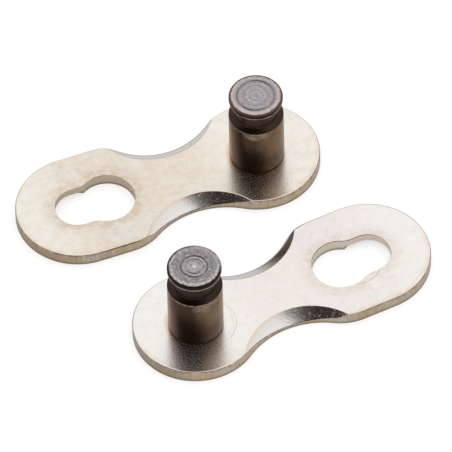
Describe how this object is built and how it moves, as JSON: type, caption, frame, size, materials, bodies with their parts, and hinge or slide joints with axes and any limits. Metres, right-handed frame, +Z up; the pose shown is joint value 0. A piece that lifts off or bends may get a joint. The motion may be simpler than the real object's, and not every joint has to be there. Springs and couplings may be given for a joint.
{
  "type": "chain connecting link",
  "caption": "Tool-free connecting link for a half-inch bicycle chain, laid open: waisted outer plates with keyhole slots, and riveted grooved pins that lock into them.",
  "frame": {"origin": "on the surface the link lies on, below the middle of its overall box", "axes": "+Z up along both pins, +X along the front half from its pin to its slot, +Y from the front half towards the rear half"},
  "size_m": [0.0236, 0.0206, 0.0069],
  "materials": {
    "plate_nickel": "satin nickel plating with bright formed bevels",
    "pin_steel": "turned, hardened and darkened, worn brighter on the head"
  },
  "bodies": {
    "root": {"front_plate": "plate_nickel", "front_pin": "pin_steel", "rear_plate": "plate_nickel", "rear_pin": "pin_steel"}
  },
  "joints": []
}
